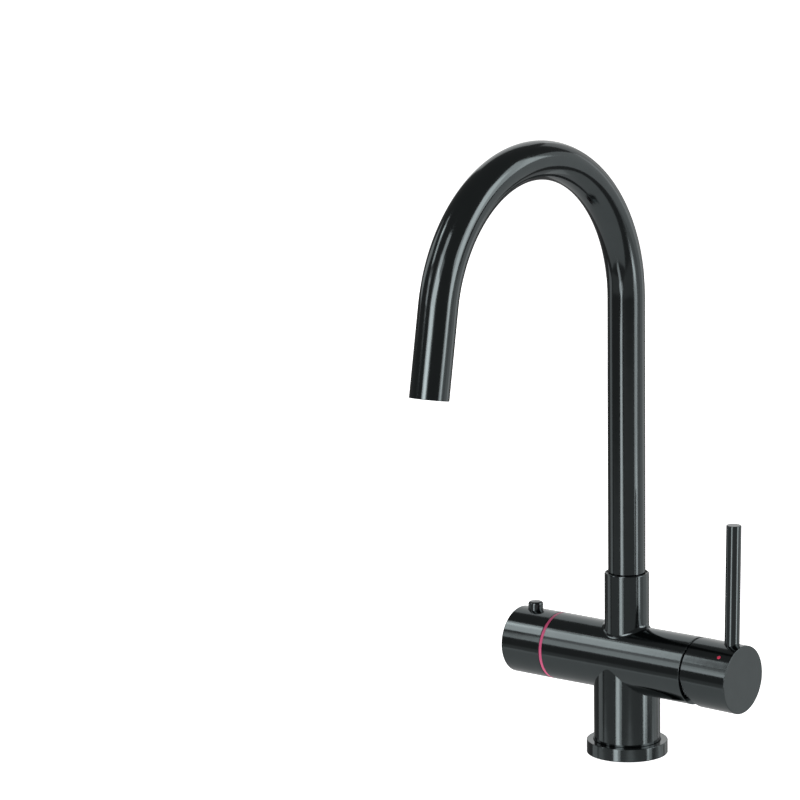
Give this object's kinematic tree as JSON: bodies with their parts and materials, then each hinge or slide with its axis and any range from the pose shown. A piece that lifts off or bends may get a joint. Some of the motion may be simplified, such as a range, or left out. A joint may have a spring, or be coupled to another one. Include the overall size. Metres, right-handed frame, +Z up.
{
  "type": "boiling water tap",
  "caption": "Single-hole kitchen tap with a swivelling swan-neck spout, a side mixer lever and a boiling water knob with a safety button.",
  "frame": {"origin": "centre of the base flange's underside on the worktop, at the mouth of the stud socket", "axes": "+Z up along the column, the spout points to -Y, the mixer handle is at +X and the boiling water knob at -X"},
  "size_m": [0.1743, 0.2339, 0.4005],
  "materials": {
    "coated_brass": "dark gunmetal vapour-deposited coating, semi-gloss",
    "raw_brass": "machined",
    "rubber": "moulded",
    "ceramic": "lapped alumina",
    "dark_plastic": "moulded",
    "white_plastic": "moulded",
    "steel": "turned stainless steel",
    "ring_red": "moulded, pink-red",
    "hot_red": "moulded",
    "cold_blue": "moulded"
  },
  "bodies": {
    "tap_body": {"base_flange": "coated_brass", "base_seal": "rubber", "column": "coated_brass", "inlet_manifold": "raw_brass", "manifold_gasket": "rubber", "manifold_screws": "steel", "barrel_casting": "coated_brass", "upper_slide_ring": "dark_plastic", "lower_slide_ring": "white_plastic", "spout_stop_screw": "steel", "boiling_tube_seal": "rubber", "mixer_base": "white_plastic", "mixer_port_seals": "rubber", "mixer_housing": "white_plastic", "mixer_fixed_disc": "ceramic", "cartridge_nut": "raw_brass", "cartridge_cover": "dark_plastic", "boiling_valve_body": "raw_brass", "boiling_seat_seal": "rubber", "boiling_fixed_disc": "ceramic", "stop_sleeve": "raw_brass", "indicator_ring": "ring_red"},
    "spout": {"spout_tube": "coated_brass", "spout_connector": "raw_brass", "spout_o_rings": "rubber", "boiling_tube": "steel", "outlet_housing": "raw_brass", "outlet_seal": "rubber", "flow_straightener": "white_plastic"},
    "cartridge_turret": {"mixer_turret": "white_plastic", "mixer_pivot_pin": "steel"},
    "disc_slide": {"disc_carrier": "white_plastic", "mixer_moving_disc": "ceramic"},
    "handle": {"mixer_stem": "steel", "mixer_handle": "coated_brass", "mixer_lever": "coated_brass", "handle_grub_screw": "steel", "hot_marker": "hot_red", "cold_marker": "cold_blue"},
    "knob": {"boiling_knob": "coated_brass", "boiling_spindle": "raw_brass", "boiling_moving_disc": "ceramic", "spindle_o_rings": "rubber", "spindle_clip": "steel", "knob_grub_screw": "steel", "button_retainer": "raw_brass", "button_spring": "steel"},
    "button": {"safety_button": "coated_brass"}
  },
  "joints": [
    {"name": "spout_swivel", "type": "hinge", "parent": "tap_body", "child": "spout", "pos_m": [0, 0, 0.1], "axis": [0, 0, 1], "range_deg": [-75, 75]},
    {"name": "mixer_temperature", "type": "hinge", "parent": "tap_body", "child": "cartridge_turret", "pos_m": [0.045, 0, 0.062], "axis": [1, 0, 0], "range_deg": [-50, 50]},
    {"name": "mixer_flow", "type": "hinge", "parent": "cartridge_turret", "child": "handle", "pos_m": [0.045, 0, 0.062], "axis": [0, 1, 0], "range_deg": [0, 16]},
    {"name": "mixer_disc_slide", "type": "slide", "parent": "cartridge_turret", "child": "disc_slide", "axis": [0, 0, 1], "range_m": [0, 0.0042]},
    {"name": "boiling_turn", "type": "hinge", "parent": "tap_body", "child": "knob", "pos_m": [-0.07, 0, 0.062], "axis": [1, 0, 0], "range_deg": [0, 90]},
    {"name": "safety_button_press", "type": "slide", "parent": "knob", "child": "button", "axis": [0, 0, -1], "range_m": [0, 0.0025], "stiffness_N_per_m": 1000, "springref_m": -0.002, "deforming": ["button_spring"]}
  ],
  "couplings": [
    {"joint": "mixer_disc_slide", "follows": "mixer_flow", "m_per_rad": 0.0148}
  ]
}
